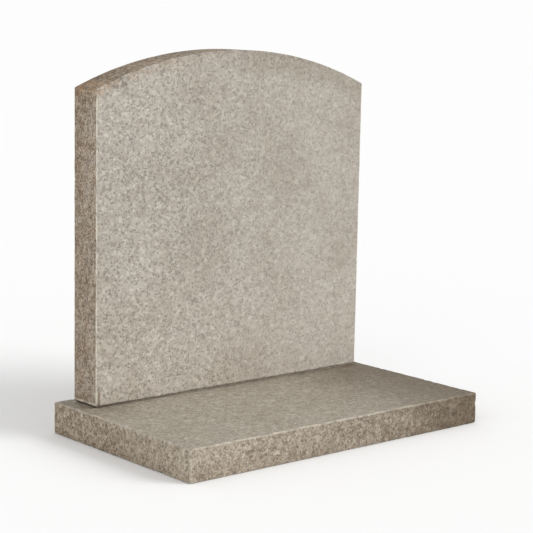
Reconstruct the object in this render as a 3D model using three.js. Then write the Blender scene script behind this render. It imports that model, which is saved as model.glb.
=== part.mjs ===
// An upright headstone of pale speckled granite: a slab with a curved crown, set on a flat base.
// Millimetres, +Z up. X runs across the width, and the face for an inscription looks towards -Y.
// The origin is the middle of the base's underside.

import * as THREE from "three";

// The headstone
const headstoneWidth = 686;
const headstoneThickness = 77;
const shoulderHeight = 612; // from the foot up to the shoulders
const crownRise = 72; // from the shoulders up to the middle of the crown
const headstoneEase = 4; // worn arris on every edge
const crownSegments = 48;

// The base
const baseHeight = 64;
const leftMargin = 34; // base left bare to the left of the headstone, seen from the front
const rightMargin = 22; // base left bare to its right
const frontLedge = 343; // base left bare in front of the headstone
const backMargin = 20; // base left bare behind the headstone
const baseEase = 5; // worn arris on every edge

// The bed of setting compound between the two stones
const bedThickness = 3;
const bedSetback = 4; // how far the bed's edge is raked in under the headstone

const contactGap = 0.3; // between faces that touch
const easeSegments = 3; // facets across a worn arris

// Sizes and places that follow from the above
const baseWidth = leftMargin + headstoneWidth + rightMargin;
const baseDepth = frontLedge + headstoneThickness + backMargin;
const headstoneMiddleX = (leftMargin - rightMargin) / 2;
const headstoneBackY = baseDepth / 2 - backMargin;
const headstoneMiddleY = headstoneBackY - headstoneThickness / 2;
const headstoneFootZ = baseHeight + bedThickness;

// The front of the headstone, drawn flat: upright sides under one arc that spans the whole width.
// Each corner is cut back by the worn arris.
function headstoneOutline() {
  const half = headstoneWidth / 2;
  const radius = (half ** 2 + crownRise ** 2) / (2 * crownRise);
  const centreHeight = shoulderHeight + crownRise - radius;
  const easeAngle = headstoneEase / radius;
  const halfAngle = Math.asin(half / radius) - easeAngle;

  const outline = new THREE.Shape();
  outline.moveTo(headstoneEase - half, 0);
  outline.lineTo(half - headstoneEase, 0);
  outline.lineTo(half, headstoneEase);
  outline.lineTo(half, shoulderHeight - headstoneEase);
  outline.absarc(0, centreHeight, radius, Math.PI / 2 - halfAngle, Math.PI / 2 + halfAngle);
  outline.lineTo(-half, shoulderHeight - headstoneEase);
  outline.lineTo(-half, headstoneEase);
  outline.closePath();
  return outline;
}

// The plan of the base: a rectangle about the origin with its upright corners worn.
function baseOutline() {
  const x = baseWidth / 2;
  const y = baseDepth / 2;

  const outline = new THREE.Shape();
  outline.moveTo(baseEase - x, -y);
  outline.lineTo(x - baseEase, -y);
  outline.lineTo(x, baseEase - y);
  outline.lineTo(x, y - baseEase);
  outline.lineTo(x - baseEase, y);
  outline.lineTo(baseEase - x, y);
  outline.lineTo(-x, y - baseEase);
  outline.lineTo(-x, baseEase - y);
  outline.closePath();
  return outline;
}

// A stone of the given outline, from z = 0 up to its thickness, with both rims worn round.
function stoneSlab(outline, thickness, ease) {
  const slab = new THREE.ExtrudeGeometry(outline, {
    depth: thickness - 2 * ease,
    curveSegments: crownSegments / 2,
    bevelThickness: ease,
    bevelSize: ease,
    bevelOffset: -ease,
    bevelSegments: easeSegments,
  });
  return slab.translate(0, 0, ease);
}

function granite(color, roughness) {
  return new THREE.MeshStandardMaterial({ color, roughness, metalness: 0 });
}

function makeBase() {
  const base = new THREE.Mesh(
    stoneSlab(baseOutline(), baseHeight, baseEase),
    granite(0x9e9487, 0.75),
  );
  base.name = "base";
  return base;
}

function makeSettingBed() {
  const bed = new THREE.Mesh(
    new THREE.BoxGeometry(
      headstoneWidth - 2 * bedSetback,
      headstoneThickness - 2 * bedSetback,
      bedThickness - 2 * contactGap,
    ),
    new THREE.MeshStandardMaterial({ color: 0x51443a, roughness: 0.9, metalness: 0 }),
  );
  bed.name = "setting_bed";
  bed.position.set(headstoneMiddleX, headstoneMiddleY, baseHeight + bedThickness / 2);
  return bed;
}

// The outline is drawn flat and tipped up, so its thickness runs from the back towards -Y.
function makeHeadstone() {
  const headstone = new THREE.Mesh(
    stoneSlab(headstoneOutline(), headstoneThickness, headstoneEase),
    granite(0xb5ada1, 0.65),
  );
  headstone.name = "headstone";
  headstone.rotation.x = Math.PI / 2;
  headstone.position.set(headstoneMiddleX, headstoneBackY, headstoneFootZ);
  return headstone;
}

const memorial = new THREE.Group();
memorial.name = "upright_headstone";
memorial.add(makeBase(), makeSettingBed(), makeHeadstone());

export default memorial;
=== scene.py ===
import math
from itertools import product
import bpy
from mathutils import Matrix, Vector, noise


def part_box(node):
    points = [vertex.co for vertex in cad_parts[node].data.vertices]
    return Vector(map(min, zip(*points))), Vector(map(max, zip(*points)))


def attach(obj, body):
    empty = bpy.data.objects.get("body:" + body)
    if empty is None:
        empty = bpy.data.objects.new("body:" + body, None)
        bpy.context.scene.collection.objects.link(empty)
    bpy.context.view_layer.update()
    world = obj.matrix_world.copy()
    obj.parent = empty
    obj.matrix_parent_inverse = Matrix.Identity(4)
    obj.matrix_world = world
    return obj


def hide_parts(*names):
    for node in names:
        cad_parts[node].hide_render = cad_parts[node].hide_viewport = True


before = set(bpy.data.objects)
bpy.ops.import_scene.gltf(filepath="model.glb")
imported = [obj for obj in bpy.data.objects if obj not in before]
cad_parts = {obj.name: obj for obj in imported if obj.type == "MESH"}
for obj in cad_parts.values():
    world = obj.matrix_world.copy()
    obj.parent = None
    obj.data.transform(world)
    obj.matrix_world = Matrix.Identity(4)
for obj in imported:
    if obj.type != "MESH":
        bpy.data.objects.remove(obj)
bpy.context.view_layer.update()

# An upright headstone on its base, both of pale speckled granite, with a dark joint between them.
# Metres, +Z up, the front of the headstone towards -Y.
millimetre = 0.001


# Colours are written as they look on a screen, 0 to 255, and shaders take them as linear light.
def tone(red, green, blue):
    def linear(value):
        share = value / 255
        return share / 12.92 if share < 0.04045 else ((share + 0.055) / 1.055) ** 2.4
    return (linear(red), linear(green), linear(blue), 1.0)


# A socket that can be used in sums; every sum adds a Math node.
class Wire:
    def __init__(self, bench, socket):
        self.bench = bench
        self.socket = socket

    def maths(self, operation, first, second, clamp=False):
        settings = {"operation": operation, "use_clamp": clamp}
        return self.bench.node("ShaderNodeMath", settings, {0: first, 1: second})

    def __add__(self, other):
        return self.maths("ADD", self, other)

    def __radd__(self, other):
        return self.maths("ADD", other, self)

    def __sub__(self, other):
        return self.maths("SUBTRACT", self, other)

    def __rsub__(self, other):
        return self.maths("SUBTRACT", other, self)

    def __mul__(self, other):
        return self.maths("MULTIPLY", self, other)

    def __rmul__(self, other):
        return self.maths("MULTIPLY", other, self)

    def __pow__(self, other):
        return self.maths("POWER", self, other)

    def held(self):                       # kept between 0 and 1
        return self.maths("ADD", self, 0.0, clamp=True)

    def other(self, output):              # another output of the same node
        return Wire(self.bench, self.socket.node.outputs[output])


# The nodes of one material, or of the surround. A step is a smooth change, written (from, to) or
# (from, to, before, after).
class Bench:
    def __init__(self, owner):
        owner.use_nodes = True
        self.owner = owner
        self.tree = owner.node_tree
        self.tree.nodes.clear()

    def node(self, kind, settings=None, values=None, output=0):
        made = self.tree.nodes.new(kind)
        for key, setting in (settings or {}).items():
            if key == "stops":
                self.setStops(made.color_ramp, setting)
            else:
                setattr(made, key, setting)
        for key, value in (values or {}).items():
            if isinstance(value, Wire):
                self.tree.links.new(value.socket, made.inputs[key])
            else:
                made.inputs[key].default_value = value
        return Wire(self, made.outputs[output]) if made.outputs else None

    def setStops(self, ramp, stops):      # each colour runs on unchanged up to the next one
        ramp.interpolation = "CONSTANT"
        while len(ramp.elements) < len(stops):
            ramp.elements.new(1.0)
        for element, (place, colour) in zip(ramp.elements, stops):
            element.position = place
            element.color = colour

    def vector(self, operation, first, second):
        return self.node("ShaderNodeVectorMath", {"operation": operation}, {0: first, 1: second})

    def scaled(self, vector, factor):
        return self.node("ShaderNodeVectorMath", {"operation": "SCALE"}, {0: vector, "Scale": factor})

    def mix(self, share, first, second, blend="MIX"):
        settings = {"data_type": "RGBA", "blend_type": blend}
        return self.node("ShaderNodeMix", settings, {0: share, 6: first, 7: second}, output=2)

    def tinted(self, share, colour, tint):
        return self.mix(share, colour, tint, "MULTIPLY")

    def bands(self, share, stops):
        return self.node("ShaderNodeValToRGB", {"stops": stops}, {0: share})

    def step(self, value, low, high, before=0.0, after=1.0):
        values = {0: value, 1: low, 2: high, 3: before, 4: after}
        return self.node("ShaderNodeMapRange", {"interpolation_type": "SMOOTHSTEP"}, values)

    def cloud(self, place, size, detail=2.0, roughness=0.5, output=0):
        values = {"Vector": place, "Scale": 1 / size, "Detail": detail, "Roughness": roughness}
        return self.node("ShaderNodeTexNoise", {}, values, output)

    def patches(self, place, size, step, **settings):
        return self.step(self.cloud(place, size, **settings), *step)

    def cells(self, place, size, output="Color", feature="F1"):
        values = {"Vector": place, "Scale": 1 / size}
        return self.node("ShaderNodeTexVoronoi", {"feature": feature}, values, output)

    def painted(self, name):              # a value kept on the mesh's points
        return self.node("ShaderNodeAttribute", {"attribute_name": name}, {}, "Fac")

    def parts(self, vector):
        split = self.node("ShaderNodeSeparateXYZ", {}, {0: vector}).socket.node
        return [Wire(self, socket) for socket in split.outputs]

    def finish(self, shader, kind="ShaderNodeOutputMaterial"):
        self.node(kind, {}, {"Surface": shader})
        return self.owner


# What both stones share in their working.
workLook = {
    "gridSteps": (0, 0.3, 0.6, 0.9, 1.2, 1.6, 2.2),       # grid lines near an edge, in arrises
    "leastArris": 0.7,                    # an arris has at least this share of its radius,
    "arrisRange": 0.5,                    # and wanders by up to this share more
    "nickRange": 0.25,                    # from where a nick begins to where it is deepest
    "swaySize": 0.2,
    "footFade": (0.5, 2),                 # the pale line starts this far above the foot, in its widths,
    "topFade": (1.6, 0.8),                # and weakens this far below the top
    # added to a stone's seed, so that no two patterns on it match
    "patterns": {"arris": 0, "nick": 5, "relief": 11, "sway": 17, "stray": 23},
}


# Places across one side of a stone, close together where the arris turns.
def gridLines(length, pitch, arris):
    near = [arris * step for step in workLook["gridSteps"]]
    span = length - 2 * near[-1]
    count = math.ceil(span / pitch)
    middle = [near[-1] + span * step / count for step in range(1, count)]
    places = near + middle + [length - place for place in reversed(near)]
    return [place - length / 2 for place in places]


# The skin of a box as one closed net of quads over the given places along its three axes.
def boxSkin(*lines):
    found, points, quads = {}, [], []
    last = [len(line) - 1 for line in lines]

    def corner(*cell):
        if cell not in found:
            found[cell] = len(points)
            points.append(Vector([line[step] for line, step in zip(lines, cell)]))
        return found[cell]

    for first, second, through in ((0, 1, 2), (0, 2, 1), (1, 2, 0)):
        for a, b, side in product(range(last[first]), range(last[second]), (0, last[through])):
            ring = []
            for across, along in ((a, b), (a + 1, b), (a + 1, b + 1), (a, b + 1)):
                cell = [side, side, side]
                cell[first], cell[second] = across, along
                ring.append(corner(*cell))
            facesOut = (side > 0) != (through == 1)       # a ring over x and z looks towards -y
            quads.append(ring if facesOut else ring[::-1])
    return points, quads


def smoothStep(value, low, high):
    share = max(0.0, min(1.0, (value - low) / (high - low)))
    return share * share * (3 - 2 * share)


# Noise from 0 to 1 with features of the given size.
def patch(point, size, seed):
    return max(0.0, min(1.0, 0.5 + 0.5 * noise.noise(point / size + Vector((seed, 2 * seed, -seed)))))


def stonePatch(point, size, look, pattern):
    return patch(point, size, look["seed"] + workLook["patterns"][pattern])


# Where a point of the box is worked to, how far it belongs to a rim, and how deep it lies in the
# relief. Points move inwards only, so the stone stays inside its own size.
def workPoint(point, half, look):
    nick = stonePatch(point, look["nickSize"], look, "nick")
    nick = smoothStep(nick, look["nickFrom"], look["nickFrom"] + workLook["nickRange"])
    wander = stonePatch(point, look["arrisWander"], look, "arris")
    radius = look["arris"] * (workLook["leastArris"] + workLook["arrisRange"] * wander)
    radius += look["nickDepth"] * nick
    inner = Vector([max(radius - h, min(h - radius, c)) for c, h in zip(point, half)])
    normal = (point - inner).normalized()
    rim = 1 - abs(normal[look["flatAxis"]])
    hollow = stonePatch(point, look["reliefSize"], look, "relief")
    rough = look["faceRelief"] + (look["rimRelief"] - look["faceRelief"]) * rim
    relief = rough * hollow + look["sway"] * stonePatch(point, workLook["swaySize"], look, "sway")
    return inner + normal * (radius - relief), rim, hollow


# How much of the pale line along the arrises shows at a point, from 0 to 1. The line is partly
# paler bruised stone and partly a painted highlight where the arris catches the light; along the
# foot of a rim it is painted light over the shade there.
def paleShare(point, half, rim, look):
    band = look["lightBand"]
    foot = smoothStep(point.z + half.z, *[share * band for share in workLook["footFade"]])
    foot += (1 - foot) * rim * look["footLight"]
    top = smoothStep(point.z - half.z, *[-share * band for share in workLook["topFade"]])
    depths = [h - abs(c) for c, h in zip(point, half)]
    flatDepth = depths.pop(look["flatAxis"])
    stray = look["arrisStray"] * (2 * stonePatch(point, look["arrisWander"], look, "stray") - 1)
    fromFace = abs(min(depths) / look["faceReach"] - flatDepth + stray)
    fromCorner = max(depths) / look["cornerReach"]
    line = 1 - smoothStep(min(fromFace, fromCorner), look["lightCore"], band)
    return foot * (1 - top * (1 - look["topLight"])) * line


# Works one stone out of a box of the given half sizes: its arrises turned and nicked, its faces
# a little uneven.
def workStone(name, half, centre, look, lift=None):
    points, quads = boxSkin(*[gridLines(2 * h, look["pitch"], look["arris"]) for h in half])
    painted = {"arris": [], "rim": [], "hollow": []}
    for index, point in enumerate(points):
        worked, rim, hollow = workPoint(point, half, look)
        painted["arris"].append(paleShare(point, half, rim, look))
        painted["rim"].append(rim)
        painted["hollow"].append(hollow)
        if lift:
            worked.z = lift(worked)
        points[index] = centre + worked
    mesh = bpy.data.meshes.new(name)
    mesh.from_pydata(points, [], quads)
    mesh.shade_smooth()
    for key, values in painted.items():
        mesh.attributes.new(key, "FLOAT", "POINT").data.foreach_set("value", values)
    stone = bpy.data.objects.new(name, mesh)
    bpy.context.scene.collection.objects.link(stone)
    print(name, len(mesh.polygons), "quads")
    return stone


# What both granites share. Sizes are in metres, except those in grains.
graniteLook = {
    "bendSize": 7 * millimetre,           # the outlines of the crystals bend,
    "bend": 0.6,                          # by this many grains
    "smallCell": 0.5,                     # in grains, as the next two
    "flakeCell": 0.7,
    "groundPatch": 1.6,
    "groundStep": (0.42, 0.58),
    "flakePick": (0.86, 0.89),            # the share of cells with no mica, and
    "flakeEdge": (0.42, 0.6, 1, 0),       # how far a flake reaches in its cell
    "rimGrain": 0.6,                      # how much of the lost grain comes back on the rims
    "drift": {"size": 0.16, "step": (0.35, 0.65), "detail": 3.0, "roughness": 0.6},
    "mottle": {"step": (0.35, 0.62), "detail": 3.0, "roughness": 0.6},
    "rimStep": (0.2, 0.9),                # from the tone of the faces to that of the rims
    "crumbRoughness": 0.6,
    "hollowDirt": 0.35,                   # how much more dirt there is in the hollows
    "dirtStep": (0.5, 0.6),
    "scuffStep": (0.45, 0.35),
    # what breaks up the pale line along an arris, keeps it near the arris, and leaves gaps in it
    "lineBreakup": {"size": 5 * millimetre, "detail": 3.0, "roughness": 0.7},
    "lineBreakupRange": 1.6,
    "bruiseAndHighlight": (0.4, 1.0),
    "bruiseAndHighlightReach": (0.05, 0.3),
    "arrisGaps": {"size": 18 * millimetre, "step": (0.36, 0.56, 0.25, 1.0), "detail": 3.0},
    "seamStep": (0.0, 0.12),              # how wide the seams between the crystals are
    "grit": {"size": 1.4 * millimetre, "detail": 3.0, "roughness": 0.65},
    "pitStep": (0.3, 0.62),
    "seamHeight": 0.25,
    "gritHeight": 0.35,
    "crystalHeight": 0.2,
    "faceHeight": 0.55,                   # how much of the grain's relief is left on a dressed face
    "bumpDepth": 0.8 * millimetre,
    "rimRoughness": 0.14,                 # added to a stone's own
    "crystalRoughness": 0.22,
    "flakeGloss": 0.15,
    "specular": 0.35,
}


# Large crystals in a finer ground, with black mica. Gives the colour, the share of mica, and a
# number that differs from crystal to crystal, for the large ones and the small.
def layCrystals(bench, place, bent, look):
    grain = look["grain"]
    largePick, largeShift, _ = bench.parts(bench.cells(bent, grain))
    smallPick, smallShift, _ = bench.parts(bench.cells(bent, grain * graniteLook["smallCell"]))
    flake = bench.cells(bent, grain * graniteLook["flakeCell"])
    flakePick, _, _ = bench.parts(flake)
    crystals = bench.bands(largePick, look["crystals"])
    ground = bench.bands(smallPick, look["ground"])
    groundShare = bench.patches(place, grain * graniteLook["groundPatch"], graniteLook["groundStep"])
    stone = bench.mix(groundShare, crystals, ground)
    flakeShare = bench.step(flakePick, *graniteLook["flakePick"])
    flakeShare = flakeShare * bench.step(flake.other("Distance"), *graniteLook["flakeEdge"])
    stone = bench.mix(flakeShare * look["micaStrength"], stone, look["mica"])
    return stone, flakeShare, largeShift, smallShift


# A slow drift of tone, browner rims, stains, and dirt and scuffs in the roughness of the rims.
def weather(bench, place, stone, rim, hollow, look):
    across, _, _ = bench.parts(place)
    calm = bench.step(across, *look["calm"]) * (1 - rim * graniteLook["rimGrain"])
    stone = bench.mix(calm, stone, look["mean"])
    stone = bench.tinted(bench.patches(place, **graniteLook["drift"]), stone, look["driftTone"])
    mottle = bench.patches(place, look["mottleSize"], **graniteLook["mottle"])
    stone = bench.tinted(mottle, stone, look["mottleTone"])
    faceStone = bench.tinted(1, stone, look["faceTone"])
    rimStone = bench.tinted(1, stone, look["rimTone"])
    stone = bench.mix(bench.step(rim, *graniteLook["rimStep"]), faceStone, rimStone)
    for stain in look["stains"]:
        stone = bench.tinted(stain["where"](bench, place, rim, stain), stone, stain["tone"])
    crumb = bench.cloud(place, look["crumbSize"], roughness=graniteLook["crumbRoughness"])
    crumb = crumb + (hollow - 0.5) * graniteLook["hollowDirt"]
    darkening = bench.step(crumb, *graniteLook["dirtStep"]) * rim * look["dirtStrength"]
    stone = bench.tinted(darkening, stone, look["dirtTone"])
    scuffs = bench.step(crumb, *graniteLook["scuffStep"]) * rim * look["scuffStrength"]
    return bench.mix(scuffs, stone, look["scuffTone"])


# The pale line along the arrises, with gaps in it: partly paler, bruised stone, and partly a
# painted highlight where the arris catches the light.
def bruiseAndHighlight(bench, place, stone, look):
    arris = bench.painted("arris")
    lineBreakup = (bench.cloud(place, **graniteLook["lineBreakup"]) - 0.5) * graniteLook["lineBreakupRange"]
    bruisedAndLit = bench.step(arris + lineBreakup, *graniteLook["bruiseAndHighlight"])
    bruisedAndLit = bruisedAndLit * bench.step(arris, *graniteLook["bruiseAndHighlightReach"])
    bruisedAndLit = bruisedAndLit * bench.patches(place, **graniteLook["arrisGaps"])
    return bench.mix(bruisedAndLit * look["arrisStrength"], stone, look["arrisTone"])


# The finest relief: seams between crystals, grit, crystals that stand a little proud, and pits.
def fineRelief(bench, place, bent, rim, largeShift, look):
    toSeam = bench.cells(bent, look["grain"], "Distance", "DISTANCE_TO_EDGE")
    seams = bench.step(toSeam, *graniteLook["seamStep"])
    grit = bench.cloud(place, **graniteLook["grit"])
    height = seams * graniteLook["seamHeight"] + grit * graniteLook["gritHeight"]
    height = height + largeShift * graniteLook["crystalHeight"]
    height = height * (graniteLook["faceHeight"] + rim * (1 - graniteLook["faceHeight"]))
    pits = bench.patches(place, look["pitSize"], graniteLook["pitStep"])
    values = {
        "Strength": look["bump"],
        "Distance": graniteLook["bumpDepth"],
        "Height": height + pits * rim * look["pitStrength"],
    }
    return bench.node("ShaderNodeBump", {}, values)


def graniteMaterial(name, look):
    bench = Bench(bpy.data.materials.new(name))
    place = bench.node("ShaderNodeTexCoord", output="Object")
    bend = bench.cloud(place, graniteLook["bendSize"], output="Color")
    bend = bench.vector("SUBTRACT", bend, (0.5, 0.5, 0.5))
    bent = bench.vector("ADD", place, bench.scaled(bend, look["grain"] * graniteLook["bend"]))
    rim = bench.painted("rim")
    hollow = bench.painted("hollow")

    stone, flakeShare, largeShift, smallShift = layCrystals(bench, place, bent, look)
    stone = weather(bench, place, stone, rim, hollow, look)
    stone = bruiseAndHighlight(bench, place, stone, look)
    for veil in look["veils"]:
        stone = bench.tinted(veil["where"](bench, place, rim, veil), stone, veil["tone"])

    roughness = look["roughness"] + rim * graniteLook["rimRoughness"]
    roughness = roughness + (smallShift - 0.5) * graniteLook["crystalRoughness"]
    roughness = roughness - flakeShare * graniteLook["flakeGloss"]
    shader = bench.node("ShaderNodeBsdfPrincipled", {}, {
        "Base Color": stone,
        "Roughness": roughness.held(),
        "Specular IOR Level": graniteLook["specular"],
        "Normal": fineRelief(bench, place, bent, rim, largeShift, look),
    })
    return bench.finish(shader)


# How far a place lies along each axis.
def alongX(bench, place):
    return bench.parts(place)[0]


def alongY(bench, place):
    return bench.parts(place)[1]


def alongZ(bench, place):
    return bench.parts(place)[2]


# Where a stain lies, as a share from 0 to 1: its steps, its patches, and the face or the rim that
# it keeps to, each of which takes some of it away.
def zone(bench, place, rim, stain):
    factors = [bench.step(measure(bench, place), *step) for measure, step in stain.get("steps", ())]
    if "patches" in stain:
        factors.append(bench.patches(place, **stain["patches"]))
    if stain.get("on") == "rim":
        factors.append(rim)
    if stain.get("on") == "face":
        factors.append(1 - rim)
    return math.prod(factors)


# The headstone: a slab under one arc, bedded upright near the back of the base.
headstoneLow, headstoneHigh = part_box("headstone")
headstoneSize = headstoneHigh - headstoneLow
headstoneMiddle = (headstoneLow + headstoneHigh) / 2
headstoneLook = {
    "pitch": 3.6 * millimetre,
    "crownRise": 72 * millimetre,
    "seed": 3.7,
    "flatAxis": 1,                        # the front and back are the dressed faces
    "arris": 3.4 * millimetre,
    "arrisWander": 22 * millimetre,
    "lightCore": 1.2 * millimetre,        # the pale line along an arris, and where it ends
    "lightBand": 4 * millimetre,
    "faceReach": 1.0,                     # how much further the line spreads over a dressed face,
    "cornerReach": 2.4,                   # and along the corners where two rims meet
    "arrisStray": 0.6 * millimetre,
    "topLight": 0.2,                      # how much of the line is left at the top,
    "footLight": 0.9,                     # and along the foot of a rim, where it is painted light over the shade there
    "nickSize": 11 * millimetre,
    "nickFrom": 0.66,
    "nickDepth": 4 * millimetre,
    "faceRelief": 0.12 * millimetre,
    "rimRelief": 0.5 * millimetre,
    "reliefSize": 9 * millimetre,
    "sway": 0.5 * millimetre,
    "grain": 6.4 * millimetre,
    "crystals": [
        (0.0, tone(154, 146, 136)),
        (0.14, tone(172, 164, 154)),
        (0.36, tone(184, 176, 165)),
        (0.6, tone(194, 187, 175)),
        (0.84, tone(208, 201, 190)),
    ],
    "ground": [
        (0.0, tone(152, 144, 134)),
        (0.2, tone(175, 167, 156)),
        (0.5, tone(187, 179, 168)),
        (0.8, tone(200, 193, 182)),
    ],
    "mica": tone(122, 113, 104),
    "micaStrength": 0.75,
    "mean": tone(185, 177, 166),
    "calm": (-0.3, 0.3, 0.12, 0.46),      # the grain shows less and less from left to right
    "driftTone": tone(243, 242, 239),
    "mottleSize": 20 * millimetre,
    "mottleTone": tone(249, 248, 247),
    "faceTone": tone(255, 255, 255),
    "rimTone": tone(232, 226, 219),
    "crumbSize": 4.2 * millimetre,
    "dirtStrength": 0.85,
    "dirtTone": tone(205, 197, 189),
    "scuffStrength": 0.35,
    "scuffTone": tone(196, 188, 174),
    "arrisTone": tone(220, 212, 194),
    "arrisStrength": 0.85,
    "roughness": 0.6,
    "pitSize": 6 * millimetre,
    "pitStrength": 0.8,
    "bump": 0.5,
}
crownHalf = headstoneSize.x / 2
crownRadius = (crownHalf ** 2 + headstoneLook["crownRise"] ** 2) / (2 * headstoneLook["crownRise"])


# How far a place lies below the arc of the crown.
def belowCrown(bench, place):
    across, _, height = bench.parts(place)
    aside = across - headstoneMiddle.x
    arc = (crownRadius ** 2 - aside * aside) ** 0.5
    return arc + (headstoneHigh.z - crownRadius) - height


# A ragged band along the crown, with a strength of its own along each stretch.
def crownGrowth(bench, place, rim, growth):
    across = alongX(bench, place)
    stray = (bench.cloud(place, **growth["edge"]) - 0.5) * growth["edgeStray"]
    reach = bench.step(across, *growth["reach"])
    near = bench.step(belowCrown(bench, place) + stray, reach, reach + growth["fade"], 1, 0)
    tail = bench.step(across, *growth["tailStart"]) * bench.step(across, *growth["tailEnd"])
    strength = bench.step(across, *growth["shoulder"]) * (bench.step(across, *growth["left"]) + tail)
    blotch = bench.patches(place, **growth["patches"])
    return near * blotch * strength * (growth["onFace"] + (1 - growth["onFace"]) * rim)


footMarkMiddle = headstoneLow.x + 0.0075
headstoneLook["stains"] = [
    {                                     # painted light: the face is a little greyer above than at the foot, offsetting the shade on its lower part
        "where": zone,
        "tone": tone(238, 238, 238),
        "steps": [(alongZ, (headstoneLow.z, 0.46))],
        "on": "face",
    },
    {                                     # painted shade: the sides and the crown grow darker towards the back
        "where": zone,
        "tone": tone(238, 232, 225),
        "steps": [(alongY, (headstoneLow.y, headstoneHigh.y))],
        "on": "rim",
    },
    {                                     # slow reddish patches on the sides
        "where": zone,
        "tone": tone(252, 245, 240),
        "patches": {"size": 28 * millimetre, "step": (0.4, 0.62)},
        "on": "rim",
    },
    {                                     # a short brown run beside the left arris at the foot
        "where": zone,
        "tone": tone(170, 156, 137),
        "steps": [
            (alongX, (footMarkMiddle - 0.005, footMarkMiddle)),
            (alongX, (footMarkMiddle, footMarkMiddle + 0.005, 1, 0)),
            (alongZ, (headstoneLow.z + 0.02, headstoneLow.z + 0.05, 1, 0)),
        ],
    },
]
headstoneLook["veils"] = [
    {                                     # grey-brown growth on the crown, thinly over its front arris
        "where": crownGrowth,
        "tone": tone(194, 195, 190),
        "edge": {"size": 12 * millimetre, "detail": 3.0, "roughness": 0.65},
        "edgeStray": 35 * millimetre,
        "reach": (-0.28, -0.24, 0.02, 0.003),             # deep at the shoulder, then thin
        "fade": 6 * millimetre,
        "patches": {
            "size": 9 * millimetre,
            "step": (0.4, 0.58, 0.1, 1.0),
            "detail": 3.0,
            "roughness": 0.6,
        },
        "shoulder": (headstoneLow.x + 0.02, headstoneLow.x + 0.045, 0.1, 1.0),
        "left": (-0.26, -0.22, 1.0, 0.4),
        "tailStart": (-0.17, -0.12, 0.0, 0.6),            # thicker again along one stretch
        "tailEnd": (-0.1, -0.05, 1.0, 0.0),
        "onFace": 0.75,                   # its strength on the face, where the rim has 1
    },
    {                                     # painted shade: the face is darker close under the right half of the crown
        "where": zone,
        "tone": tone(235, 233, 229),
        "steps": [(belowCrown, (0.015, 0.06, 1, 0)), (alongX, (-0.1, 0.1))],
        "on": "face",
    },
    {                                     # tan patches below the left half of the crown
        "where": zone,
        "tone": tone(250, 239, 227),
        "steps": [(alongX, (-0.25, 0.02, 1, 0)), (belowCrown, (0.004, 0.03, 1, 0))],
        "patches": {"size": 11 * millimetre, "step": (0.4, 0.6), "detail": 3.0, "roughness": 0.6},
    },
    {                                     # a little orange at the left shoulder
        "where": zone,
        "tone": tone(255, 238, 219),
        "steps": [
            (alongX, (headstoneLow.x + 0.02, headstoneLow.x + 0.05, 1, 0)),
            (belowCrown, (0.004, 0.016, 1, 0)),
        ],
        "patches": {"size": 9 * millimetre, "step": (0.42, 0.56)},
    },
]


def makeHeadstone():
    rise = headstoneLook["crownRise"]
    shoulder = headstoneSize.z - rise
    half = Vector((crownHalf, headstoneSize.y / 2, shoulder / 2))

    def lift(point):                      # stretches each upright line to reach the arc
        reach = math.sqrt(crownRadius ** 2 - point.x ** 2) - crownRadius + rise
        return -half.z + (point.z + half.z) * (1 + reach / shoulder)

    centre = Vector((headstoneMiddle.x, headstoneMiddle.y, headstoneLow.z + half.z))
    slab = workStone("headstoneSlab", half, centre, headstoneLook, lift)
    slab.data.materials.append(graniteMaterial("headstoneGranite", headstoneLook))
    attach(slab, "root")
    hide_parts("headstone")


# The base: a flat slab with a broad ledge in front of the headstone.
baseLow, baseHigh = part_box("base")
baseLook = {
    "pitch": 4.2 * millimetre,
    "seed": 8.2,
    "flatAxis": 2,                        # the top is the dressed face
    "arris": 4.2 * millimetre,
    "arrisWander": 24 * millimetre,
    "lightCore": 0.8 * millimetre,
    "lightBand": 4.2 * millimetre,
    "faceReach": 2.2,
    "cornerReach": 2.0,
    "arrisStray": 2.4 * millimetre,
    "topLight": 1.0,
    "footLight": 0.0,
    "nickSize": 12 * millimetre,
    "nickFrom": 0.6,
    "nickDepth": 5 * millimetre,
    "faceRelief": 0.15 * millimetre,
    "rimRelief": 0.9 * millimetre,
    "reliefSize": 10 * millimetre,
    "sway": 0.6 * millimetre,
    "grain": 6.6 * millimetre,
    "crystals": [
        (0.0, tone(150, 141, 127)),
        (0.16, tone(169, 160, 145)),
        (0.38, tone(183, 174, 159)),
        (0.62, tone(195, 186, 171)),
        (0.86, tone(212, 204, 188)),
    ],
    "ground": [
        (0.0, tone(148, 137, 124)),
        (0.2, tone(174, 165, 150)),
        (0.5, tone(187, 178, 163)),
        (0.8, tone(202, 194, 178)),
    ],
    "mica": tone(116, 106, 94),
    "micaStrength": 0.8,
    "mean": tone(184, 175, 160),
    "calm": (-0.3, 0.3, 0.3, 0.3),
    "driftTone": tone(246, 245, 243),
    "mottleSize": 15 * millimetre,
    "mottleTone": tone(243, 241, 237),
    "faceTone": tone(238, 239, 241),
    "rimTone": tone(251, 248, 246),
    "crumbSize": 4.2 * millimetre,
    "dirtStrength": 0.56,
    "dirtTone": tone(203, 195, 187),
    "scuffStrength": 0.25,
    "scuffTone": tone(200, 191, 178),
    "arrisTone": tone(211, 202, 186),
    "arrisStrength": 0.46,
    "roughness": 0.64,
    "pitSize": 8 * millimetre,
    "pitStrength": 1.2,
    "bump": 0.6,
}


# A strip along the foot of the headstone, and more about its left corner.
def footDarkening(bench, place, rim, darkening):
    across, back, _ = bench.parts(place)
    strip = bench.step(back, *darkening["strip"]) * darkening["stripStrength"]
    corner = bench.step(across, *darkening["cornerAcross"]) * bench.step(back, *darkening["cornerBack"])
    return (strip + corner).held() * bench.patches(place, **darkening["patches"]) * (1 - rim)


# More and more to the right of a ragged line.
def damp(bench, place, rim, wet):
    stray = (bench.cloud(place, **wet["edge"]) - 0.5) * wet["edgeStray"]
    return bench.step(alongX(bench, place) + stray, *wet["across"])


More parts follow.
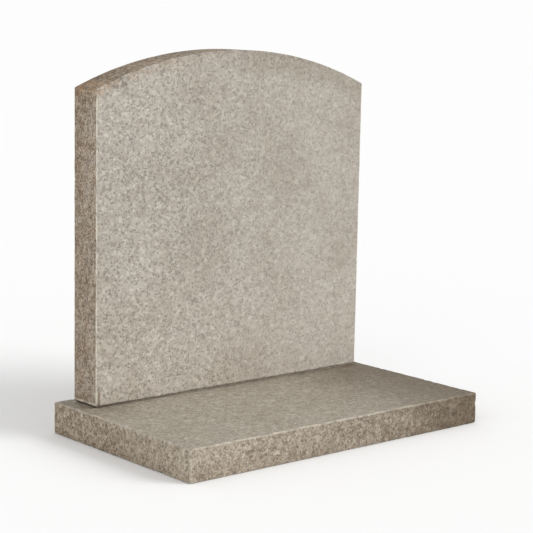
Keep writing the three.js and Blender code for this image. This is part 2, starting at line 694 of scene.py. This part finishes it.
baseLook["stains"] = [
    {                                     # darker along the foot of the headstone, most at its left end
        "where": footDarkening,
        "tone": tone(212, 204, 197),
        "strip": (headstoneLow.y - 0.009, headstoneLow.y),
        "stripStrength": 0.5,
        "cornerAcross": (headstoneLow.x, headstoneLow.x + 0.1, 1, 0),
        "cornerBack": (headstoneLow.y - 0.11, headstoneLow.y),
        "patches": {
            "size": 20 * millimetre,
            "step": (0.3, 0.6, 0.2, 0.8),
            "detail": 3.0,
            "roughness": 0.6,
        },
    },
    {                                     # the front rim is splashed with soil
        "where": zone,
        "tone": tone(220, 218, 217),
        "steps": [
            (alongY, (baseLow.y + 0.004, baseLow.y + 0.014, 1, 0)),
            (alongX, (baseLow.x, 0.0, 0.5, 1.0)),
        ],
        "on": "rim",
    },
]
baseLook["veils"] = [
    {                                     # painted shade: the rims grow darker towards the back
        "where": zone,
        "tone": tone(243, 239, 235),
        "steps": [(alongY, (baseLow.y, baseHigh.y))],
        "on": "rim",
    },
    {                                     # coarse dark spots, most at the back of the left rim
        "where": zone,
        "tone": tone(206, 201, 195),
        "steps": [
            (alongX, (baseLow.x + 0.004, baseLow.x + 0.014, 1, 0)),
            (alongY, (baseLow.y + 0.1, baseHigh.y - 0.15)),
        ],
        "patches": {"size": 8 * millimetre, "step": (0.5, 0.6), "roughness": 0.6},
        "on": "rim",
    },
    {                                     # the right-hand end is darker and browner
        "where": damp,
        "tone": tone(184, 175, 164),
        "edge": {"size": 50 * millimetre, "detail": 3.0},
        "edgeStray": 0.1,
        "across": (0.03, baseHigh.x + 0.01),
    },
    {                                     # the rims grow darker towards the ground
        "where": zone,
        "tone": tone(243, 240, 237),
        "steps": [(alongZ, (0.0, 0.03, 1, 0))],
        "on": "rim",
    },
]


def makeBase():
    half = (baseHigh - baseLow) / 2
    slab = workStone("baseSlab", half, (baseLow + baseHigh) / 2, baseLook)
    slab.data.materials.append(graniteMaterial("baseGranite", baseLook))
    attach(slab, "root")
    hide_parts("base")


# The joint: dark setting compound, raked back unevenly between the stones.
jointLook = {
    "pitch": 3 * millimetre,
    "thin": 3,                            # steps through its thickness
    "seed": 1.3,
    "wander": 2 * millimetre,
    "wanderSize": 14 * millimetre,
    "edgeShare": 0.49,                    # points further out than this share of the width are edges
    "dark": tone(90, 80, 71),
    "light": tone(150, 139, 126),
    "patches": {"size": 14 * millimetre, "step": (0.35, 0.7), "detail": 4.0, "roughness": 0.6},
    "patchStrength": 0.5,
    "paler": (-0.25, 0.0, 0.35, 0.6),     # from left to right
    "leftEnd": (-0.34, -0.2, 0.1, 1.0),   # darkest there
    "grit": {"size": 1.2 * millimetre, "detail": 3.0, "roughness": 0.6},
    "bump": 0.5,
    "bumpDepth": 0.5 * millimetre,
    "roughness": 0.78,
    "gritRoughness": 0.2,
    "specular": 0.25,
}


def compoundMaterial():
    bench = Bench(bpy.data.materials.new("settingCompound"))
    place = bench.node("ShaderNodeTexCoord", output="Object")
    across = alongX(bench, place)
    pale = bench.patches(place, **jointLook["patches"]) * jointLook["patchStrength"]
    pale = (pale + bench.step(across, *jointLook["paler"])) * bench.step(across, *jointLook["leftEnd"])
    grit = bench.cloud(place, **jointLook["grit"])
    bump = {"Strength": jointLook["bump"], "Distance": jointLook["bumpDepth"], "Height": grit}
    shader = bench.node("ShaderNodeBsdfPrincipled", {}, {
        "Base Color": bench.mix(pale.held(), jointLook["dark"], jointLook["light"]),
        "Roughness": jointLook["roughness"] + grit * jointLook["gritRoughness"],
        "Specular IOR Level": jointLook["specular"],
        "Normal": bench.node("ShaderNodeBump", {}, bump),
    })
    return bench.finish(shader)


def makeJoint():
    low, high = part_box("setting_bed")
    low.z, high.z = baseHigh.z, headstoneLow.z
    size, middle = high - low, (low + high) / 2
    edge = size * jointLook["edgeShare"]

    def steps(length, count):
        return [length * (step / count - 0.5) for step in range(count + 1)]

    xs = steps(size.x, math.ceil(size.x / jointLook["pitch"]))
    ys = steps(size.y, math.ceil(size.y / jointLook["pitch"]))
    points, quads = boxSkin(xs, ys, steps(size.z, jointLook["thin"]))
    for point in points:
        shift = jointLook["wander"] * (2 * patch(point, jointLook["wanderSize"], jointLook["seed"]) - 1)
        point.x += math.copysign(shift, point.x) if abs(point.x) > edge.x else 0
        point.y += math.copysign(shift, point.y) if abs(point.y) > edge.y else 0
        point += middle
    mesh = bpy.data.meshes.new("joint")
    mesh.from_pydata(points, [], quads)
    mesh.materials.append(compoundMaterial())
    joint = bpy.data.objects.new("joint", mesh)
    bpy.context.scene.collection.objects.link(joint)
    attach(joint, "root")
    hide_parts("setting_bed")
    print("joint", len(mesh.polygons), "quads")


# The studio: a pale floor that runs on into an even surround, and broad soft light, most of it from
# the front right. The surround looks as bright as the floor, so that no horizon shows.
studioLook = {
    "floorSize": 60.0,
    "floorTone": 0.95,
    "surround": 0.695,
    "lights": [                           # width, height above the floor and turn to the right, in degrees
        {"name": "key", "power": 1.72, "width": 35, "height": 30, "aside": 40},
        {"name": "fill", "power": 0.5, "width": 60, "height": 25, "aside": -75},
    ],
    "sensor": 36,                         # millimetres, as is the lens
    "lens": 111.15,
    "cameraPlace": (-2.0962, -2.4451, 0.8409),
    "cameraTurn": (80.963, -1.0638, -40.2248),            # degrees
}


def makeFloor():
    reach = studioLook["floorSize"] / 2
    corners = [(-reach, -reach, 0), (reach, -reach, 0), (reach, reach, 0), (-reach, reach, 0)]
    mesh = bpy.data.meshes.new("floor")
    mesh.from_pydata(corners, [], [(0, 1, 2, 3)])
    bench = Bench(bpy.data.materials.new("paleFloor"))
    pale = studioLook["floorTone"]
    shader = bench.node("ShaderNodeBsdfPrincipled", {}, {
        "Base Color": (pale, pale, pale, 1),
        "Roughness": 1.0,
        "Specular IOR Level": 0.0,
    })
    mesh.materials.append(bench.finish(shader))
    floor = bpy.data.objects.new("floor", mesh)
    bpy.context.scene.collection.objects.link(floor)


def makeLight():
    scene = bpy.context.scene
    floorGlow = studioLook["floorTone"] * studioLook["surround"]
    for look in studioLook["lights"]:
        height = math.radians(look["height"])
        sun = bpy.data.lights.new(look["name"], "SUN")
        sun.angle = math.radians(look["width"])
        sun.energy = look["power"]
        lamp = bpy.data.objects.new(look["name"], sun)
        lamp.rotation_euler = (math.pi / 2 - height, 0, math.radians(look["aside"]))
        scene.collection.objects.link(lamp)
        floorGlow += studioLook["floorTone"] * sun.energy * math.sin(height) / math.pi
    bench = Bench(bpy.data.worlds.new("surround"))
    seen = bench.node("ShaderNodeLightPath", output="Is Camera Ray")
    strength = seen * (floorGlow - studioLook["surround"]) + studioLook["surround"]
    background = bench.node("ShaderNodeBackground", {}, {"Color": (1, 1, 1, 1), "Strength": strength})
    scene.world = bench.finish(background, "ShaderNodeOutputWorld")


def makeCamera():
    scene = bpy.context.scene
    lens = bpy.data.cameras.new("camera")
    lens.sensor_width = studioLook["sensor"]
    lens.lens = studioLook["lens"]
    camera = bpy.data.objects.new("camera", lens)
    camera.location = studioLook["cameraPlace"]
    camera.rotation_euler = [math.radians(turn) for turn in studioLook["cameraTurn"]]
    scene.collection.objects.link(camera)
    scene.camera = camera
    scene.view_settings.view_transform = "Standard"


makeHeadstone()
makeBase()
makeJoint()
makeFloor()
makeLight()
makeCamera()
print("studio")
